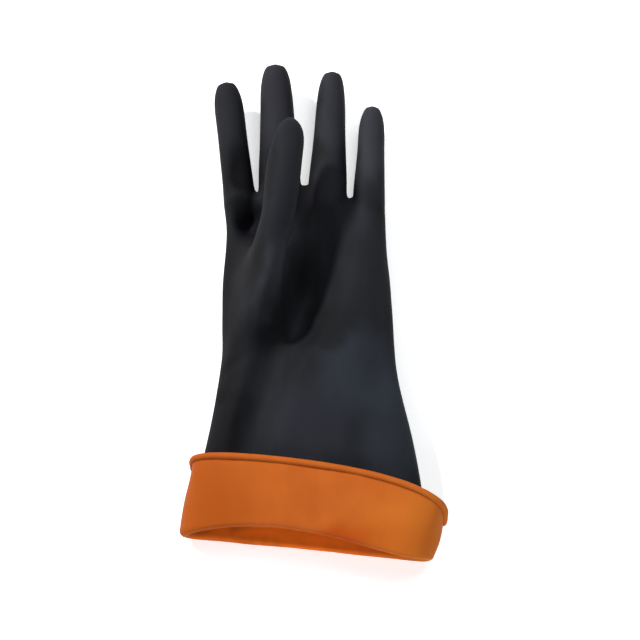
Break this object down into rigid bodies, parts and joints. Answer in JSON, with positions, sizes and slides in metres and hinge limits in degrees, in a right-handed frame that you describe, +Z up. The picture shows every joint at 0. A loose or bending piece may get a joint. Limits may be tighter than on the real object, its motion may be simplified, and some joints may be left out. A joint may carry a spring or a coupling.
{
  "type": "acid resistant rubber gauntlet glove",
  "caption": "Long heavy rubber glove with separate fingers and thumb, a flared gauntlet and a turned-back cuff with a rolled hem.",
  "frame": {"origin": "centre of the footprint, on the surface that the glove lies on with its palm up", "axes": "+X from the index finger's side to the little finger's side, +Y from the cuff to the fingertips, +Z up, out of the palm"},
  "size_m": [0.1978, 0.403, 0.0751],
  "materials": {
    "outer_rubber": "black dipped natural rubber, satin, faintly dusty",
    "inner_rubber": "orange dipped natural rubber, smooth and nearly matt"
  },
  "bodies": {
    "root": {"outer_layer": "outer_rubber", "inner_layer": "inner_rubber", "rolled_bead": "inner_rubber"}
  },
  "joints": []
}
